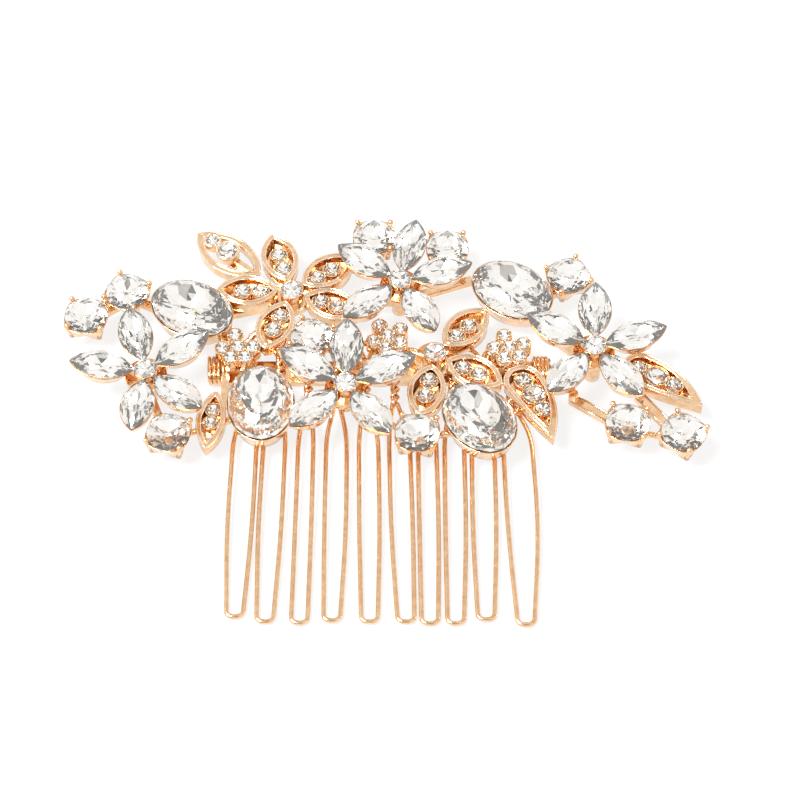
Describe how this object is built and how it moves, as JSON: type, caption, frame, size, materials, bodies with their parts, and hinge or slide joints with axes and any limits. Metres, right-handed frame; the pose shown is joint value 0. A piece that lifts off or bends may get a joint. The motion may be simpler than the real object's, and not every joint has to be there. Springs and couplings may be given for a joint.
{
  "type": "decorative hair comb",
  "caption": "Hair comb with hairpin wire tines bound to a flat spine, under a stone-set spray of flowers, leaves, ovals, rounds and small clusters.",
  "frame": {"origin": "middle of the flat spine's underside, halfway between the fifth and sixth tines", "axes": "+X along the spine, +Z out of the decorated face, tines point to -Y"},
  "size_m": [0.1031, 0.0742, 0.0112],
  "materials": {
    "rose_gold": "polished rose-gold plate",
    "crystal": "clear faceted stone with a silvered back"
  },
  "bodies": {
    "root": {"comb_spine": "rose_gold", "tine_01": "rose_gold", "tine_02": "rose_gold", "tine_03": "rose_gold", "tine_04": "rose_gold", "tine_05": "rose_gold", "tine_06": "rose_gold", "tine_07": "rose_gold", "tine_08": "rose_gold", "tine_09": "rose_gold", "tine_10": "rose_gold", "spine_arches": "rose_gold", "binding_wire_left": "rose_gold", "binding_wire_right": "rose_gold", "round_setting_01": "rose_gold", "round_setting_02": "rose_gold", "round_setting_03": "rose_gold", "round_setting_04": "rose_gold", "round_setting_05": "rose_gold", "round_setting_06": "rose_gold", "round_setting_07": "rose_gold", "round_setting_08": "rose_gold", "round_setting_09": "rose_gold", "round_setting_10": "rose_gold", "round_stones": "crystal", "oval_setting_left": "rose_gold", "oval_stone_left": "crystal", "oval_setting_lower_left": "rose_gold", "oval_stone_lower_left": "crystal", "oval_setting_upper_right": "rose_gold", "oval_stone_upper_right": "crystal", "oval_setting_lower_right": "rose_gold", "oval_stone_lower_right": "crystal", "flower_setting_left": "rose_gold", "petal_stones_left": "crystal", "flower_setting_middle": "rose_gold", "petal_stones_middle": "crystal", "flower_setting_upper": "rose_gold", "petal_stones_upper": "crystal", "flower_setting_right": "rose_gold", "petal_stones_right": "crystal", "leaf_flower": "rose_gold", "leaf_spray": "rose_gold", "leaf_lower_right": "rose_gold", "leaf_far_right": "rose_gold", "leaf_lower_left": "rose_gold", "open_leaf": "rose_gold", "leaf_stones": "crystal", "cluster_setting_left": "rose_gold", "cluster_stones_left": "crystal", "cluster_setting_middle": "rose_gold", "cluster_stones_middle": "crystal", "cluster_setting_right": "rose_gold", "cluster_stones_right": "crystal", "centre_stones": "crystal", "back_frame": "rose_gold", "stalk_inner": "rose_gold", "stalk_outer": "rose_gold"}
  },
  "joints": []
}
